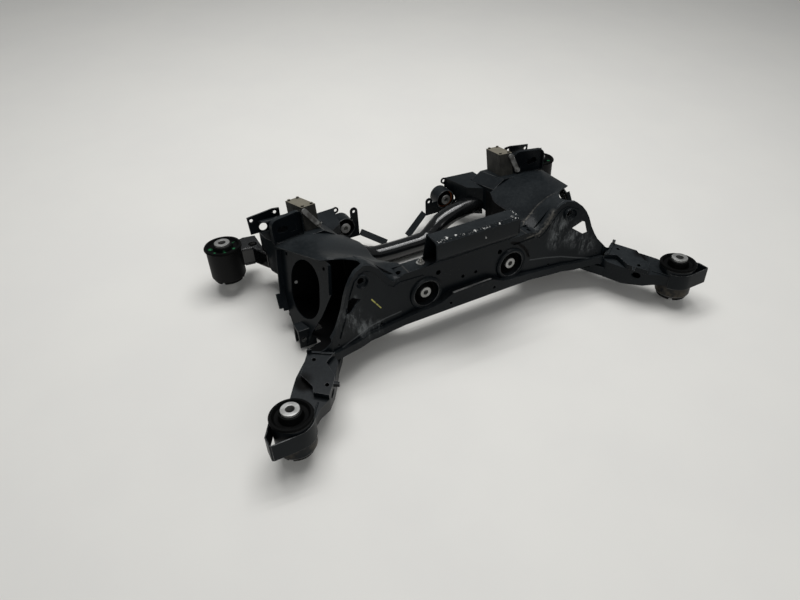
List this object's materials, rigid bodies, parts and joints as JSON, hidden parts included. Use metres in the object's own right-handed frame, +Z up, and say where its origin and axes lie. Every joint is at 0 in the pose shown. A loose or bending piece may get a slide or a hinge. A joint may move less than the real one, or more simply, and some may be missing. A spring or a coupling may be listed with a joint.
{
  "type": "rear subframe",
  "caption": "Black pressed-steel rear subframe with rubber body mounts, differential bushes, a bridge tube and a curved front crossmember.",
  "frame": {"origin": "bottom centre of the overall box, on the floor the subframe lies on", "axes": "+X to the right hand side, +Y towards the front of the car, +Z up from the floor; the mounts lean 9 degrees forward in this pose"},
  "size_m": [1.268, 0.7101, 0.3026],
  "materials": {
    "satin_black": "satin black dip coat, scuffed and dusty",
    "gloss_black": "glossy black coat",
    "rubber": "matte black rubber",
    "alloy": "bare turned aluminium",
    "cast": "dull grey-brown cast face",
    "zinc": "bright plated steel"
  },
  "bodies": {
    "root": {"rear_face_panel": "satin_black", "rear_back_shell": "satin_black", "bridge_tube": "satin_black", "front_crossmember": "gloss_black", "flange_bolts": "zinc", "side_top_left": "satin_black", "side_top_right": "satin_black", "side_outer_left": "satin_black", "side_outer_right": "satin_black", "side_inner_left": "satin_black", "side_inner_right": "satin_black", "side_floor_left": "satin_black", "side_floor_right": "satin_black", "link_bracket_left": "satin_black", "link_bracket_right": "satin_black", "rear_arm_upper_left": "satin_black", "rear_arm_upper_right": "satin_black", "rear_arm_lower_left": "satin_black", "rear_arm_lower_right": "satin_black", "guard_strap_left": "satin_black", "guard_strap_right": "satin_black", "rear_can_left": "satin_black", "rear_can_right": "satin_black", "rear_rubber_left": "rubber", "rear_rubber_right": "rubber", "rear_sleeve_left": "alloy", "rear_sleeve_right": "alloy", "front_can_left": "satin_black", "front_can_right": "satin_black", "front_rubber_left": "rubber", "front_rubber_right": "rubber", "front_sleeve_left": "alloy", "front_sleeve_right": "alloy", "front_tower_left": "satin_black", "front_tower_right": "satin_black", "front_arm_left": "gloss_black", "front_arm_right": "gloss_black", "corner_plate_left": "satin_black", "corner_plate_right": "satin_black", "arm_bracket_left": "satin_black", "arm_bracket_right": "satin_black", "damper_block_left": "cast", "damper_block_right": "cast", "damper_strap_left": "alloy", "damper_strap_right": "alloy", "front_bracket_left": "satin_black", "front_bracket_right": "satin_black", "rear_bush_ring_left": "satin_black", "rear_bush_ring_right": "satin_black", "rear_bush_rubber_left": "rubber", "rear_bush_rubber_right": "rubber", "rear_bush_sleeve_left": "alloy", "rear_bush_sleeve_right": "alloy", "front_bush_ring_left": "satin_black", "front_bush_ring_right": "satin_black", "front_bush_rubber_left": "rubber", "front_bush_rubber_right": "rubber", "front_bush_sleeve_left": "alloy", "front_bush_sleeve_right": "alloy"}
  },
  "joints": []
}
